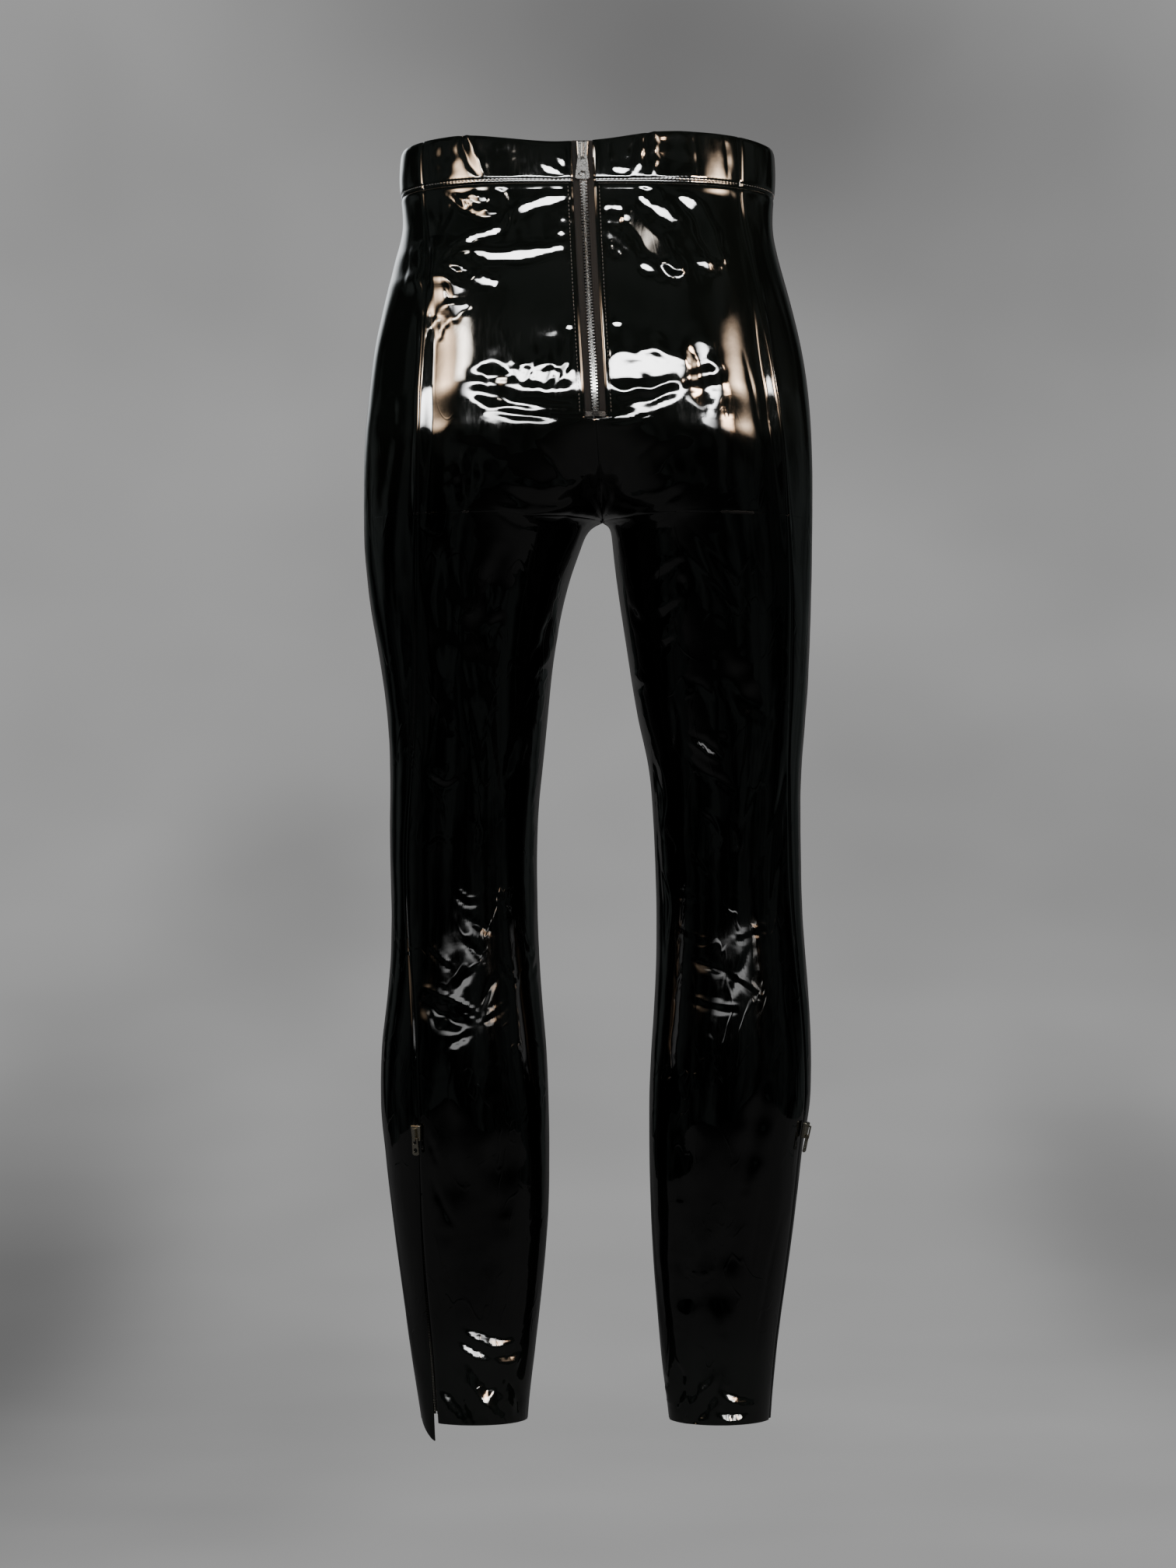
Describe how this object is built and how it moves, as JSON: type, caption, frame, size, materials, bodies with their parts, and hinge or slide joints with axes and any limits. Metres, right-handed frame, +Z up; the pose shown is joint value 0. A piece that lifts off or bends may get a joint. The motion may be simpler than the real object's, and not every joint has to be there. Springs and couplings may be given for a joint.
{
  "type": "patent leather trousers",
  "caption": "High-waisted skinny trousers in black patent leather, hollow as worn, with an exposed centre-back zip and an opened zip in each ankle.",
  "frame": {"origin": "centre of the waist opening, in the plane of the waistband's top edge at the sides", "axes": "+Z up along the standing figure, -Y towards the garment's back where the long zip is, +Y towards its front, -X towards the wearer's left leg"},
  "size_m": [0.3408, 0.2309, 0.9809],
  "materials": {
    "patent_leather": "high gloss patent coating",
    "zip_tape": "woven, matt",
    "zip_metal": "dark nickel",
    "ankle_zip_metal": "pale nickel"
  },
  "bodies": {
    "garment": {"back_left": "patent_leather", "back_right": "patent_leather", "front_left": "patent_leather", "front_right": "patent_leather", "waistband_back_left": "patent_leather", "waistband_back_right": "patent_leather", "waistband_front": "patent_leather", "back_zip_tape_left": "zip_tape", "back_zip_tape_right": "zip_tape", "ankle_zip_tape_back_left": "zip_tape", "ankle_zip_tape_front_left": "zip_tape", "ankle_zip_tape_back_right": "zip_tape", "ankle_zip_tape_front_right": "zip_tape", "back_zip_chain": "zip_metal", "back_zip_bottom_stop": "zip_metal", "back_zip_slider": "zip_metal", "ankle_zip_slider_left": "ankle_zip_metal", "ankle_zip_slider_right": "ankle_zip_metal"},
    "back_pull": {"back_zip_pull": "zip_metal"},
    "left_ankle_pull": {"ankle_zip_pull_left": "ankle_zip_metal"},
    "right_ankle_pull": {"ankle_zip_pull_right": "ankle_zip_metal"}
  },
  "joints": [
    {"name": "back_pull_swing", "type": "hinge", "parent": "garment", "child": "back_pull", "pos_m": [-0.00413, -0.09838, -0.01504], "axis": [-1, 0, 0], "range_deg": [0, 150]},
    {"name": "left_ankle_pull_swing", "type": "hinge", "parent": "garment", "child": "left_ankle_pull", "pos_m": [-0.1295, -0.06067, -0.74555], "axis": [-0.8795, 0.4758, 0], "range_deg": [0, 150]},
    {"name": "right_ankle_pull_swing", "type": "hinge", "parent": "garment", "child": "right_ankle_pull", "pos_m": [0.16564, -0.03247, -0.74591], "axis": [-0.3948, -0.9188, 0], "range_deg": [0, 150]}
  ]
}
